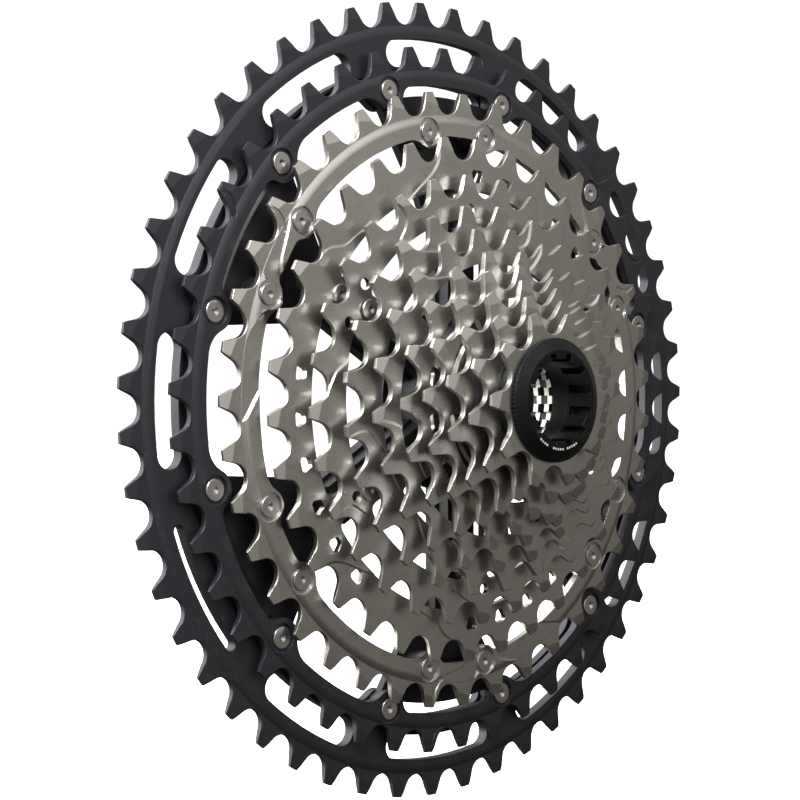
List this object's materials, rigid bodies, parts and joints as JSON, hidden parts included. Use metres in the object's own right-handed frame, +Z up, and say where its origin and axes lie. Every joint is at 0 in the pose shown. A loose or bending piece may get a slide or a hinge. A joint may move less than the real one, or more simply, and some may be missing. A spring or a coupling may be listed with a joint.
{
  "type": "bicycle cassette",
  "caption": "Wide-range bicycle cassette: graded toothed sprockets riveted to a six-armed splined spider, with spacers and a screw-out lock ring.",
  "frame": {"origin": "on the axle's centre line, at the rear seat of the spider's hub, where it meets the freehub's shoulder", "axes": "+Y along the axle towards the wheel's spokes, with the smallest sprocket and lock ring facing -Y; +Z up; +X to the right seen from the lock-ring side"},
  "size_m": [0.2104, 0.0471, 0.2104],
  "materials": {
    "black_alloy": "black anodised satin",
    "nickel_steel": "satin nickel",
    "rivet_steel": "satin",
    "spacer_alloy": "satin",
    "ring_alloy": "black anodised satin"
  },
  "bodies": {
    "cassette": {"sprocket_51t": "black_alloy", "sprocket_45t": "black_alloy", "sprocket_39t": "nickel_steel", "sprocket_33t": "nickel_steel", "sprocket_28t": "nickel_steel", "sprocket_24t": "nickel_steel", "sprocket_21t": "nickel_steel", "sprocket_18t": "nickel_steel", "sprocket_16t": "nickel_steel", "sprocket_14t": "nickel_steel", "sprocket_12t": "nickel_steel", "sprocket_10t": "nickel_steel", "spider": "black_alloy", "rivets_45t": "rivet_steel", "rivets_39t": "rivet_steel", "rivets_33t": "rivet_steel", "rivets_28t": "rivet_steel", "spacer_24t_21t": "spacer_alloy", "spacer_21t_18t": "spacer_alloy", "spacer_18t_16t": "spacer_alloy", "spacer_16t_14t": "spacer_alloy", "spacer_14t_12t": "spacer_alloy", "spacer_12t_10t": "spacer_alloy"},
    "washer": {"lock_washer": "spacer_alloy"},
    "lock_ring": {"lock_ring": "ring_alloy"}
  },
  "joints": [
    {"name": "lock_ring_travel", "type": "slide", "parent": "cassette", "child": "washer", "axis": [0, -1, 0], "range_m": [0, 0.005]},
    {"name": "lock_ring_turn", "type": "hinge", "parent": "washer", "child": "lock_ring", "pos_m": [0, -0.0405, 0], "axis": [0, -1, 0], "range_deg": [0, 1800]}
  ],
  "couplings": [
    {"joint": "lock_ring_travel", "follows": "lock_ring_turn", "m_per_rad": 0.00015915}
  ]
}
